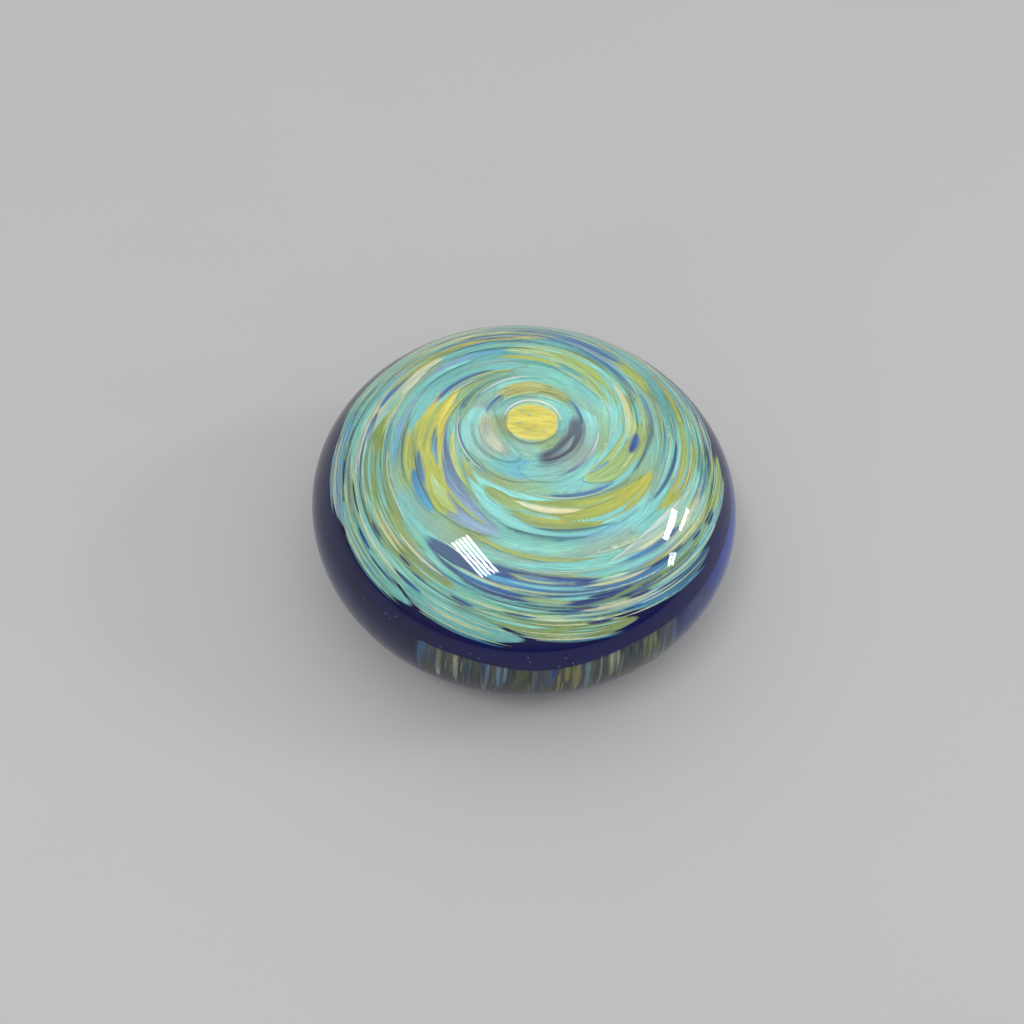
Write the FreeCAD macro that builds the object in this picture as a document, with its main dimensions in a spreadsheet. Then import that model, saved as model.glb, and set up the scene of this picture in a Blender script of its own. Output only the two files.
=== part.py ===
"""Art-glass paperweight: a swirl of coloured trails over a cobalt ground, cased in clear glass.

The whole is one fused body of glass, modelled as the separate bits of glass it was made from.
Frame: millimetres, +Z up, origin at the centre of the ground base. The front faces -Y and the right
is +X. Plan angles are counted in degrees from the front towards the right.
"""
import FreeCAD, Part
import Sketcher
import math
import os

V = FreeCAD.Vector
QUARTER_TURN = math.pi / 2      # radians, for arcs in a sketch
WHOLE_TURN = 2 * math.pi
FULL_CIRCLE = 360               # degrees, for plan angles
FRONT = -90                     # the front's direction, counted anticlockwise from +X

# Driving dimensions: alias, value, what it is.
SIZES = [
    ("outer_radius", 45.0, "greatest radius of the clear casing"),
    ("total_height", 45.0, "base to crown"),
    ("equator_height", 19.0, "height of the greatest radius"),
    ("shoulder_radius", 18.0, "radius of the arc between its crown and its greatest radius"),
    ("base_radius", 29.0, "radius of the ground flat base"),
    ("colour_radius", 41.0, "greatest radius of the coloured layers"),
    ("colour_top", 41.5, "crown of the coloured layers"),
    ("colour_equator", 18.0, "height of their greatest radius"),
    ("colour_shoulder", 16.5, "radius of their arc above it"),
    ("colour_underside", 15.5, "radius of their arc below it"),
    ("neck_radius", 12.0, "outside of the coloured layers where they reach the base"),
    ("trail_depth", 1.2, "thickness of the trails and the drawn streaks"),
    ("aqua_depth", 0.8, "thickness of the aqua coat under the trails"),
    ("cobalt_depth", 2.0, "thickness of the cobalt ground under the aqua coat"),
    ("aqua_radius", 36.5, "plan radius of the aqua coat"),
    ("eye_radius", 14.0, "plan radius of the eye in the middle of the swirl"),
    ("split_radius", 27.0, "plan radius where the inner trails meet the outer ones"),
    ("swirl_radius", 38.2, "plan radius where the outer trails end, between their tips"),
    ("tip_bulge", 1.1, "how far a trail's round tip stands out beyond that"),
    ("trail_growth", 36.0, "radius gained by a trail in one full turn"),
    ("swirl_floor", 20.0, "height below which no trail reaches"),
    ("yellow_radius", 5.2, "radius of the yellow eye"),
    ("hook_width", 0.8, "width of the cream thread round the yellow eye"),
    ("chip_radius", 1.3, "corner radius of a cobalt chip"),
    ("chip_distance", 9.5, "plan distance of a chip's centre from the pole"),
    ("slate_radius", 5.0, "radius of the slate crescent's outer edge"),
    ("cream_radius", 3.2, "radius of the cream patch"),
    ("patch_distance", 9.0, "plan distance of the patch's centre from the pole"),
    ("amber_radius", 5.5, "radius of the amber comma's outer edge"),
    ("bow_distance", 7.5, "plan distance of the crescent's and the comma's centres from the pole"),
    ("streak_angle", 6.0, "plan angle taken up by one drawn streak"),
    ("streak_top", 19.4, "height of their upper ends, under the cobalt's edge"),
    ("streak_foot", 5.0, "height of the lower ends of the drawn streaks"),
    ("dimple_radius", 14.0, "radius of the polished dimple in the base"),
    ("dimple_depth", 0.9, "its depth"),
]

# The trails of each ring, in order from the front towards the right. They share the ring equally.
INNER_TRAILS = [
    "aqua_trail_1", "lime_trail_1", "teal_trail_1", "aqua_trail_2", "yellow_trail_1", "blue_trail_1",
    "aqua_trail_3", "olive_trail_1", "lime_trail_2",
]
OUTER_TRAILS = [
    "aqua_trail_4", "olive_trail_2", "teal_trail_2", "lime_trail_3", "cobalt_trail_1", "aqua_trail_5",
    "yellow_trail_2", "aqua_trail_6", "cream_trail_1", "teal_trail_3", "olive_trail_3", "aqua_trail_7",
    "cobalt_trail_2", "lime_trail_4", "aqua_trail_8", "cream_trail_2",
]

# The drawn streaks, in order from the front left.
STREAKS_START = -24
STREAKS = [
    "blue_streak_1", "cream_streak_1", "teal_streak_1", "aqua_streak_1", "olive_streak_1",
    "blue_streak_2", "amber_streak_1", "aqua_streak_2", "cream_streak_2", "teal_streak_2",
    "olive_streak_2", "blue_streak_3",
]

SPIRAL_STEPS = 8        # spans of the curve through a spiral's points
WELL_ABOVE = 60.0       # height that is clear of everything
CHIP_ANGLES = [("cobalt_chip_1", 118), ("cobalt_chip_2", 242)]
ROUND_BITS = [          # name, plan angle, distance from the pole and radius: spread round the eye
    ("slate_crescent", 60, "bow_distance", "Sizes.slate_radius"),
    ("amber_comma", 180, "bow_distance", "Sizes.amber_radius"),
    ("cream_patch", 300, "patch_distance", "Sizes.cream_radius"),
]

doc = FreeCAD.newDocument("Paperweight")
sheet = doc.addObject("Spreadsheet::Sheet", "Sizes")
for row, (alias, value, meaning) in enumerate(SIZES, start=1):
    sheet.set(f"A{row}", str(value))
    sheet.setAlias(f"A{row}", alias)
    sheet.set(f"B{row}", meaning)
doc.recompute()

pieces = []             # the finished sub-parts, in order


def size(alias):
    """The value of one driving dimension."""
    return float(sheet.get(alias))


def finish(piece, name):
    """Names a finished sub-part and keeps it for export."""
    piece.Label = name
    piece.Placement = FreeCAD.Placement()
    pieces.append(piece)
    return piece


# ---------------------------------------------------------------- the ovals that bound the layers

def bound(sketch, name, expression, *definition):
    """A dimension in a sketch whose value comes from the sheet."""
    index = sketch.addConstraint(Sketcher.Constraint(*definition))
    sketch.renameConstraint(index, name)
    sketch.setExpression(f"Constraints.{name}", expression)


def arc_about(x, z, radius, from_angle, to_angle):
    """An arc of a circle in the sketch, between two angles in radians."""
    return Part.ArcOfCircle(Part.Circle(V(x, z, 0), V(0, 0, 1), radius), from_angle, to_angle)


def line(x1, z1, x2, z2):
    """A straight edge in the sketch."""
    return Part.LineSegment(V(x1, z1, 0), V(x2, z2, 0))


def oval(name, radius, equator, top, shoulder, foot, underside):
    """A turned body: a crown arc, a shoulder arc and an underside arc, tangent where they meet.

    Each argument is a pair: the value now, and its expression on the sheet. Foot is the radius at the
    base. The underside arc runs down to it, or, if its own radius is given, ends level and is followed
    by a flat underside and an upright neck at foot.
    """
    body = doc.addObject("PartDesign::Body", name)
    plane = next(o for o in body.Origin.OriginFeatures if o.Role == "XZ_Plane")
    sketch = body.newObject("Sketcher::SketchObject", f"{name}_profile")
    sketch.AttachmentSupport = [(plane, "")]
    sketch.MapMode = "FlatFace"
    origin, across, upright = (-1, 1), -1, -2
    start, end, centre = 1, 2, 3

    rise = top[0] - equator[0]
    inset = radius[0] - shoulder[0]
    crown = (inset ** 2 + rise ** 2 - shoulder[0] ** 2) / (2 * (rise - shoulder[0]))
    lean = math.atan2(equator[0] - (top[0] - crown), inset)
    crown_arc = sketch.addGeometry(arc_about(0, top[0] - crown, crown, lean, QUARTER_TURN))
    shoulder_arc = sketch.addGeometry(arc_about(inset, equator[0], shoulder[0], 0, lean))
    if underside is None:
        reach = radius[0] - foot[0]
        under = (reach ** 2 + equator[0] ** 2) / (2 * reach)
        drop = math.asin(equator[0] / under)
    else:
        under = underside[0]
        drop = QUARTER_TURN
    under_arc = sketch.addGeometry(
        arc_about(radius[0] - under, equator[0], under, WHOLE_TURN - drop, WHOLE_TURN))
    foot_line = sketch.addGeometry(line(0, 0, foot[0], 0))
    axis_line = sketch.addGeometry(line(0, 0, 0, top[0]))

    sketch.addConstraint([
        Sketcher.Constraint("PointOnObject", crown_arc, centre, upright),
        Sketcher.Constraint("PointOnObject", crown_arc, end, upright),
        Sketcher.Constraint("Tangent", crown_arc, start, shoulder_arc, end),
        Sketcher.Constraint("Horizontal", shoulder_arc, start, shoulder_arc, centre),
        Sketcher.Constraint("Tangent", under_arc, end, shoulder_arc, start),
        Sketcher.Constraint("Coincident", foot_line, start, *origin),
        Sketcher.Constraint("Coincident", axis_line, start, *origin),
        Sketcher.Constraint("Coincident", axis_line, end, crown_arc, end),
    ])
    bound(sketch, "top", top[1], "DistanceY", *origin, crown_arc, end, top[0])
    bound(sketch, "shoulder", shoulder[1], "Radius", shoulder_arc, shoulder[0])
    bound(sketch, "radius", radius[1], "DistanceX", *origin, shoulder_arc, start, radius[0])
    bound(sketch, "equator", equator[1], "DistanceY", *origin, shoulder_arc, start, equator[0])
    if underside is None:
        sketch.addConstraint(Sketcher.Constraint("PointOnObject", under_arc, start, across))
        sketch.addConstraint(Sketcher.Constraint("Coincident", foot_line, end, under_arc, start))
        bound(sketch, "foot", foot[1], "DistanceX", *origin, under_arc, start, foot[0])
    else:
        floor = equator[0] - under
        flat = sketch.addGeometry(line(radius[0] - under, floor, foot[0], floor))
        neck = sketch.addGeometry(line(foot[0], floor, foot[0], 0))
        sketch.addConstraint([
            Sketcher.Constraint("Tangent", under_arc, start, flat, start),
            Sketcher.Constraint("Horizontal", flat),
            Sketcher.Constraint("Coincident", flat, end, neck, start),
            Sketcher.Constraint("Vertical", neck),
            Sketcher.Constraint("PointOnObject", neck, end, across),
            Sketcher.Constraint("Coincident", foot_line, end, neck, end),
        ])
        bound(sketch, "underside", underside[1], "Radius", under_arc, under)
        bound(sketch, "foot", foot[1], "DistanceX", *origin, neck, end, foot[0])

    turned = body.newObject("PartDesign::Revolution", f"{name}_turned")
    turned.Profile = sketch
    turned.ReferenceAxis = (sketch, ["V_Axis"])
    turned.Angle = FULL_CIRCLE
    return body


def driven(alias, depths=()):
    """A dimension less some depths: its value now, and its expression on the sheet."""
    value = size(alias) - sum(size(depth) for depth in depths)
    return value, " - ".join(f"Sizes.{word}" for word in (alias, *depths))


def layer(name, *depths):
    """The oval that lies those depths inside the outside of the coloured layers."""
    return oval(
        name,
        radius=driven("colour_radius", depths),
        equator=driven("colour_equator"),
        top=driven("colour_top", depths),
        shoulder=driven("colour_shoulder", depths),
        foot=driven("neck_radius", depths),
        underside=driven("colour_underside", depths),
    )


def cut(name, base, tool):
    """What is left of base when tool is taken away."""
    result = doc.addObject("Part::Cut", name)
    result.Base = base
    result.Tool = tool
    return result


def common(name, base, tool):
    """What base and tool share."""
    result = doc.addObject("Part::Common", name)
    result.Base = base
    result.Tool = tool
    return result


def upright_cylinder(name, radius, centre=(0.0, 0.0)):
    """A cylinder that stands on the swirl's floor and reaches above everything."""
    cylinder = doc.addObject("Part::Cylinder", name)
    cylinder.setExpression("Radius", radius)
    cylinder.Height = WELL_ABOVE
    cylinder.Placement.Base = V(centre[0], centre[1], 0)
    cylinder.setExpression("Placement.Base.z", "Sizes.swirl_floor")
    return cylinder


outside = oval(
    "outside",
    radius=driven("outer_radius"),
    equator=driven("equator_height"),
    top=driven("total_height"),
    shoulder=driven("shoulder_radius"),
    foot=driven("base_radius"),
    underside=None,
)
colour_outside = layer("colour_outside")
trail_bed = layer("trail_bed", "trail_depth")
aqua_bed = layer("aqua_bed", "trail_depth", "aqua_depth")
core_outside = layer("core_outside", "trail_depth", "aqua_depth", "cobalt_depth")

dimple = doc.addObject("Part::Sphere", "dimple_ball")
BALL = "(Sizes.dimple_radius ^ 2 + Sizes.dimple_depth ^ 2) / (2 * Sizes.dimple_depth)"
dimple.setExpression("Radius", BALL)
dimple.setExpression("Placement.Base.z", f"Sizes.dimple_depth - ({BALL})")
doc.recompute()

finish(cut("casing", cut("casing_shell", outside, colour_outside), dimple), "clear_casing")
finish(cut("core", core_outside, dimple), "clear_core")


# ---------------------------------------------------------------- the swirl's trails

def at(radius, angle, height):
    """The point at that plan radius and angle."""
    turn = math.radians(angle)
    return V(radius * math.sin(turn), -radius * math.cos(turn), height)


def spiral(inner, outer, angle, height):
    """A spiral edge that leaves radius inner at that angle and winds outwards to radius outer."""
    points = []
    for step in range(SPIRAL_STEPS + 1):
        radius = inner + (outer - inner) * step / SPIRAL_STEPS
        points.append(at(radius, angle + FULL_CIRCLE * (radius - inner) / size("trail_growth"), height))
    curve = Part.BSplineCurve()
    curve.interpolate(points)
    return curve.toShape()


def round_edge(radius, middle_radius, from_angle, to_angle, height):
    """An arc between two points at one radius that passes through middle_radius half way."""
    middle = at(middle_radius, (from_angle + to_angle) / 2, height)
    return Part.Arc(at(radius, from_angle, height), middle, at(radius, to_angle, height)).toShape()


def trail_outline(inner, outer, bulge, start, width, height):
    """The closed plan outline of one trail."""
    gain = FULL_CIRCLE * (outer - inner) / size("trail_growth")
    edges = [
        round_edge(inner, inner, start, start + width, height),
        spiral(inner, outer, start + width, height),
        round_edge(outer, outer + bulge, start + gain, start + width + gain, height),
        spiral(inner, outer, start, height),
    ]
    return Part.Wire(Part.sortEdges(edges)[0])


def prism(name, outline):
    """A solid that stands on that outline and reaches above everything."""
    solid = doc.addObject("Part::Feature", name)
    solid.Shape = Part.Face(outline).extrude(V(0, 0, WELL_ABOVE))
    return solid


def trail_ring(trails, inner, outer, bulge):
    """One ring of equal trails side by side, each cut out of the swirl's layer."""
    width = FULL_CIRCLE / len(trails)
    for number, name in enumerate(trails):
        outline = trail_outline(inner, outer, bulge, number * width, width, size("swirl_floor"))
        finish(common(f"{name}_cut", swirl_layer, prism(f"{name}_outline", outline)), name)


swirl_layer = cut("swirl_layer", colour_outside, trail_bed)
trail_ring(INNER_TRAILS, size("eye_radius"), size("split_radius"), 0.0)
trail_ring(OUTER_TRAILS, size("split_radius"), size("swirl_radius"), size("tip_bulge"))


# ---------------------------------------------------------------- the eye

def take(name, rest, tool):
    """One bit of the eye: what the tool covers of the rest. Returns what is left after it."""
    finish(common(f"{name}_bit", rest, tool), name)
    return cut(f"after_{name}", rest, tool)


def eye_place(angle, distance):
    """Plan x and y of a bit's centre."""
    point = at(size(distance), angle, 0)
    return point.x, point.y


CHIP_SIDES = 3          # a cobalt chip is a three-cornered sliver
HOOK_SWEEP = 180.0      # the cream thread goes half way round the yellow eye

eye = common("eye_layer", swirl_layer, upright_cylinder("eye_limit", "Sizes.eye_radius"))
eye = take("yellow_eye", eye, upright_cylinder("yellow_limit", "Sizes.yellow_radius"))
hook = upright_cylinder("hook_limit", "Sizes.yellow_radius + Sizes.hook_width")
hook.Angle = HOOK_SWEEP
eye = take("cream_hook", eye, hook)
for chip, angle in CHIP_ANGLES:
    wedge = doc.addObject("Part::Prism", f"{chip}_limit")
    wedge.Polygon = CHIP_SIDES
    wedge.setExpression("Circumradius", "Sizes.chip_radius")
    wedge.Height = WELL_ABOVE
    wedge.Placement.Base = V(*eye_place(angle, "chip_distance"), size("swirl_floor"))
    eye = take(chip, eye, wedge)
for bit, angle, distance, radius in ROUND_BITS:
    eye = take(bit, eye, upright_cylinder(f"{bit}_limit", radius, eye_place(angle, distance)))
finish(eye, "aqua_eye_ring")


# ---------------------------------------------------------------- the grounds and drawn streaks

aqua_layer = cut("aqua_layer", trail_bed, aqua_bed)
aqua = finish(common("aqua_coat", aqua_layer, upright_cylinder("aqua_limit", "Sizes.aqua_radius")),
              "aqua_ground")

rim = []
wound = FULL_CIRCLE * (size("swirl_radius") - size("split_radius")) / size("trail_growth")
tip_width = FULL_CIRCLE / len(OUTER_TRAILS)
for number in range(len(OUTER_TRAILS)):
    tip_angle = wound + number * tip_width
    rim.append(round_edge(size("swirl_radius"), size("swirl_radius") + size("tip_bulge"),
                          tip_angle, tip_angle + tip_width, size("swirl_floor")))
swirl_limit = prism("swirl_limit", Part.Wire(Part.sortEdges(rim)[0]))
swirl = common("swirl", swirl_layer, swirl_limit)

streak_sectors = []
for number, name in enumerate(STREAKS):
    sector = doc.addObject("Part::Cylinder", f"{name}_limit")
    sector.setExpression("Radius", "Sizes.outer_radius")
    sector.setExpression("Angle", "Sizes.streak_angle")
    sector.setExpression("Height", "Sizes.streak_top - Sizes.streak_foot")
    turn = FRONT + STREAKS_START + number * size("streak_angle")
    sector.Placement.Rotation = FreeCAD.Rotation(V(0, 0, 1), turn)
    sector.setExpression("Placement.Base.z", "Sizes.streak_foot")
    streak_sectors.append(sector)
    finish(common(f"{name}_cut", swirl_layer, sector), name)

cobalt = cut("cobalt_shell", colour_outside, core_outside)
cobalt = cut("cobalt_under_swirl", cobalt, swirl)
cobalt = cut("cobalt_under_aqua", cobalt, aqua)
for number, sector in enumerate(streak_sectors, start=1):
    streak = doc.addObject("Part::Common", f"streak_hollow_{number}")
    streak.Base = swirl_layer
    streak.Tool = sector
    cobalt = cut(f"cobalt_under_streak_{number}", cobalt, streak)
finish(cut("cobalt", cobalt, dimple), "cobalt_ground")

doc.recompute()


# ---------------------------------------------------------------- checks and export

for item in doc.Objects:
    if "Invalid" in item.State or "Error" in item.State:
        raise RuntimeError(f"{item.Name} did not recompute: {item.State}")
for piece in pieces:
    if piece.Shape.isNull() or not piece.Shape.isValid() or not piece.Shape.Solids:
        raise RuntimeError(f"{piece.Label} has no valid solid")

os.makedirs("parts", exist_ok=True)
for piece in pieces:
    piece.Shape.exportStep(f"parts/{piece.Label}.step")
    print(f"{piece.Label}: {len(piece.Shape.Solids)} solid, {piece.Shape.Volume:.1f} mm3")
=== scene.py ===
import math
import random

import bpy
import numpy as np
from mathutils import Matrix, Vector


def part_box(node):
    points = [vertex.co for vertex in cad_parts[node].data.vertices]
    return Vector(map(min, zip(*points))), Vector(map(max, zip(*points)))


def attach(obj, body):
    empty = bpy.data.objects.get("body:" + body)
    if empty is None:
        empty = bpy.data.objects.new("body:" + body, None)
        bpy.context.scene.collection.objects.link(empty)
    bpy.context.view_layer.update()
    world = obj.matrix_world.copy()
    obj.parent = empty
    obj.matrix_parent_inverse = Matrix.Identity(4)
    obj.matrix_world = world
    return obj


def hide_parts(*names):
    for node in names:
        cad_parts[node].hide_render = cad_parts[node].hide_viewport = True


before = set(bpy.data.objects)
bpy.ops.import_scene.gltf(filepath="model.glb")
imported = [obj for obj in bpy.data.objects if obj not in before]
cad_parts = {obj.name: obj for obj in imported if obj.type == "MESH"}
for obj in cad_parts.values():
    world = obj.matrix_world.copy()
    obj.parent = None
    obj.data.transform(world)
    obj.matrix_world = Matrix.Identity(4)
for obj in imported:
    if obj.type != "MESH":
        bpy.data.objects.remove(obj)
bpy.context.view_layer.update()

# A domed studio-glass paperweight. Coloured glass lies as a swirl of long strokes on a dome inside
# clear glass. The strokes are laid by loops with a fixed seed, round the places of the CAD pieces.
# Plan angles are in degrees from the front (-Y) towards the right (+X); "down" is the distance in
# millimetres down the colour dome from its pole.

MM = 0.001
SEED = 7

# ---------------------------------------------------------------- the two round shapes

CASING_LOW, CASING_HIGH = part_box("clear_casing")
RADIUS = CASING_HIGH[0] / MM
HEIGHT = CASING_HIGH[2] / MM
EQUATOR = 19.0
BASE_RADIUS = 29.0
BASE_BEVEL = 0.5
DIMPLE_RADIUS = 14.0
DIMPLE_DEPTH = 0.9

COLOUR_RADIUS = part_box("cobalt_ground")[1][0] / MM
COLOUR_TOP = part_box("yellow_eye")[1][2] / MM
COLOUR_EQUATOR = 18.0
SHOULDER = 16.5
UNDERSIDE = 15.5
NECK_RADIUS = 12.0

# The colour dome's top is an arc over its shoulder arc: the two arcs meet tangentially.
INSET = COLOUR_RADIUS - SHOULDER
RISE = COLOUR_TOP - COLOUR_EQUATOR
CROWN = (INSET ** 2 + RISE ** 2 - SHOULDER ** 2) / (2 * (RISE - SHOULDER))
LEAN = math.atan2(CROWN - RISE, INSET)
QUARTER = math.pi / 2
CROWN_END = CROWN * (QUARTER - LEAN)
SHOULDER_END = CROWN_END + SHOULDER * LEAN
UNDERSIDE_END = SHOULDER_END + UNDERSIDE * QUARTER


def dome(down, depth):
    """Radius and height of the colour dome, arrays in millimetres, at a depth inside its outside."""
    on_crown = down / CROWN
    on_shoulder = QUARTER - LEAN + (down - CROWN_END) / SHOULDER
    below = np.minimum(QUARTER + (down - SHOULDER_END) / UNDERSIDE, math.pi)
    flat = np.maximum(down - UNDERSIDE_END, 0.0)
    radius = np.where(down < CROWN_END, (CROWN - depth) * np.sin(on_crown),
                      np.where(down < SHOULDER_END, INSET + (SHOULDER - depth) * np.sin(on_shoulder),
                               COLOUR_RADIUS - UNDERSIDE + (UNDERSIDE - depth) * np.sin(below) - flat))
    height = np.where(down < CROWN_END, COLOUR_TOP - CROWN + (CROWN - depth) * np.cos(on_crown),
                      np.where(down < SHOULDER_END,
                               COLOUR_EQUATOR + (SHOULDER - depth) * np.cos(on_shoulder),
                               COLOUR_EQUATOR + (UNDERSIDE - depth) * np.cos(below)))
    return radius, height


def on_dome(x, y, depth):
    """Points in metres for places on the dome's flat plan, in millimetres."""
    down = np.hypot(x, y)
    radius, height = dome(down, depth)
    scale = radius / np.maximum(down, 1e-9)
    return np.stack([x * scale, y * scale, height], axis=-1) * MM


def ring_place(angle, down):
    """A plan place at an angle in degrees and a distance down the dome."""
    turn = np.radians(angle)
    return down * np.sin(turn), -down * np.cos(turn)


# ---------------------------------------------------------------- colours

TINTS = {
    "white": (236, 246, 240), "cream": (226, 232, 192), "peach": (224, 212, 160),
    "pale_leaf": (190, 212, 160), "leaf": (158, 186, 118), "lime": (178, 192, 92),
    "yellow": (222, 206, 92), "gold": (188, 186, 74), "amber": (184, 160, 76),
    "olive": (134, 156, 80), "khaki": (152, 166, 106), "moss": (104, 122, 66),
    "grey_green": (106, 136, 114), "haze": (150, 186, 174), "mint": (134, 204, 184),
    "pale_aqua": (150, 222, 218), "aqua": (128, 198, 194), "sea": (104, 172, 172),
    "teal": (70, 130, 136), "deep_teal": (44, 90, 106), "sky": (92, 172, 208),
    "azure": (66, 134, 186), "blue": (38, 92, 166), "bright_blue": (36, 60, 190),
    "cobalt": (16, 56, 134), "navy": (14, 34, 90), "ink": (0, 4, 76),
    "violet": (14, 16, 64), "rim_violet": (50, 56, 112), "dusk": (4, 38, 126),
    "lilac": (150, 176, 200), "pale_lilac": (190, 214, 222), "slate": (88, 102, 120),
    "slate_blue": (72, 104, 138), "deep_slate": (66, 78, 96), "silver": (150, 166, 158),
    "tan": (196, 190, 128), "fog": (218, 220, 196), "sapphire": (12, 60, 172), "soot": (38, 46, 44),
    "lead": (112, 118, 104),
}

THROUGH_GLASS = 1.22    # how much lighter a tint is laid, for the light that the clear glass holds back
LIGHTEST = 0.92


def linear(name):
    """A named tint as linear light, lifted by what the clear glass over it holds back."""
    parts = np.array(TINTS[name]) / 255
    light = np.where(parts < 0.04045, parts / 12.92, ((parts + 0.055) / 1.055) ** 2.4)
    return np.minimum(THROUGH_GLASS * light, LIGHTEST)


# ---------------------------------------------------------------- strokes

STROKES = []


def keep_stroke(ring, piece, level, points, start, end, inner, outer, soft, shade=1.0):
    """Keeps a stroke. Its softness is the share of its half width that blends at each edge."""
    STROKES.append(dict(piece=piece, level=level, points=points, ring=ring, start=start,
                        end=end or start, inner=inner, outer=outer, soft=soft, shade=shade))


def trail(piece, level, points, start, end=None, inner=None, outer=None, soft=0.3, shade=1.0):
    """A stroke round the dome through (angle, down, half width) points. Higher levels lie on top."""
    keep_stroke(True, piece, level, points, start, end, inner, outer, soft, shade)


def bit(piece, level, points, start, end=None, inner=None, outer=None, soft=0.2):
    """A stroke through (x, y, half width) places on the plan, for the eye in the middle."""
    keep_stroke(False, piece, level, points, start, end, inner, outer, soft)


# ---------------------------------------------------------------- the swirl

INNER_PETALS = {"aqua_trail_1", "lime_trail_1", "teal_trail_1", "aqua_trail_2", "yellow_trail_1",
                "blue_trail_1", "aqua_trail_3", "olive_trail_1", "lime_trail_2"}
INNER_MIDDLE = 20.5     # how far down the middles of the two rings of petals lie
OUTER_MIDDLE = 33.0
WINDING = 28.0          # millimetres that a stroke moves down the dome in one whole turn
LOBES = 11

# The broad rings under the strokes: how far down, half width, and how many strokes go round.
WASH_RINGS = ((7, 4, 6), (15, 5, 7), (24, 4.8, 9), (32, 4.6, 10), (39, 4.2, 11))
WASH_TINTS = ("aqua", "mint", "haze", "leaf", "khaki", "sky", "pale_aqua")
ACCENTS = 64
STRANDS = 210
DARK_STRANDS = 26
SEED_BUBBLES = 16

# Each family of glass: the tints its strokes take, and the tint of a petal's edge.
FAMILIES = {
    "aqua": (("pale_aqua", "aqua", "mint", "aqua"), "pale_aqua"),
    "teal": (("sea", "haze", "aqua", "sea"), "teal"),
    "blue": (("azure", "sky", "slate_blue", "lilac"), "blue"),
    "lime": (("lime", "leaf", "pale_leaf", "khaki"), "pale_leaf"),
    "olive": (("khaki", "gold", "olive", "leaf"), "olive"),
    "yellow": (("lime", "gold", "yellow", "khaki"), "yellow"),
    "cream": (("cream", "pale_leaf", "peach", "haze"), "white"),
    "cobalt": (("blue", "azure", "slate_blue", "cobalt"), "cobalt"),
}


def swirl_edge(angles):
    """How far down the swirl reaches: further in front, and out to a round lobe eleven times."""
    turn = np.radians(angles)
    return 40.6 + 1.7 * np.cos(turn) + 2.2 * np.abs(np.sin(LOBES * turn / 2))


def band_edge(angles):
    """How far down the dark band reaches: further in front, with a slow ripple."""
    turn = np.radians(angles)
    return 47.6 + 3.1 * np.cos(turn) + 0.4 * np.sin(5 * turn + 1) + 0.25 * np.sin(9 * turn)


def node_angle(node):
    """The plan angle of the middle of a CAD piece, in degrees."""
    low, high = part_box(node)
    return math.degrees(math.atan2(low[0] + high[0], -low[1] - high[1]))


def winding(angle, down, reach, half, fullness=(0.1, 0.75, 1.0, 0.8, 0.1)):
    """Points of a stroke that winds outwards past a place, with its share of half width at each."""
    points = []
    for step, share in enumerate(fullness):
        gone = 2 * step / (len(fullness) - 1) - 1
        points.append((angle + reach * gone, down + WINDING * reach * gone / 360, half * share))
    return points


def washes(chance):
    """The broad soft colours that everything else lies on, ring by ring."""
    for down, half, count in WASH_RINGS:
        step = 360 / count
        for turn in range(count):
            start, end = chance.sample(WASH_TINTS, 2)
            trail("aqua_bed", 0, winding(turn * step, down, 0.8 * step, half, (1, 1, 1)), start, end,
                  soft=0.7)


def petals(chance):
    """A broad petal where each CAD trail lies, with softer strokes in it and a fine line at its hem."""
    for glass, (tints, edge) in FAMILIES.items():
        for node in PIECES[glass][1]:
            inner = node in INNER_PETALS
            angle = node_angle(node) + chance.uniform(-6, 6)
            down = (INNER_MIDDLE if inner else OUTER_MIDDLE) + chance.uniform(-1.6, 1.6)
            reach = chance.uniform(42, 62) if inner else chance.uniform(28, 44)
            half = chance.uniform(3.0, 4.6)
            start, end = chance.sample(tints, 2)
            trail(glass, chance.choice((1, 2)), winding(angle, down, reach, half), start, end, inner=edge,
                  soft=chance.uniform(0.15, 0.35))
            for _ in range(4):
                place = angle + chance.uniform(-0.45, 0.45) * reach
                beside = down + chance.uniform(-0.65, 0.65) * half
                start, end = chance.sample(tints, 2)
                trail(glass, 3, winding(place, beside, reach * chance.uniform(0.25, 0.6),
                                        chance.uniform(0.3, 1.2)), start, end, soft=0.85)
            trail("teal", 4, winding(angle, down + 0.95 * half, 0.4 * reach, chance.uniform(0.12, 0.3)),
                  "deep_teal", chance.choice(("moss", "teal", "slate_blue")), soft=0.6)
            trail("cream", 4, winding(angle + 8, down - 0.8 * half, 0.4 * reach, chance.uniform(0.08, 0.2)),
                  "white", "pale_leaf", soft=0.5)


def accents(chance):
    """Single strokes of every glass thrown across the petals."""
    for _ in range(ACCENTS):
        glass = chance.choice(("blue", "cobalt", "lime", "yellow", "olive", "cream", "aqua", "blue"))
        tints, _edge = FAMILIES[glass]
        start, end = chance.sample(tints, 2)
        trail(glass, 3, winding(chance.uniform(0, 360), chance.uniform(16, 38), chance.uniform(9, 30),
                                chance.uniform(0.3, 1.4)), start, end, soft=chance.uniform(0.4, 0.8))


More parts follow.
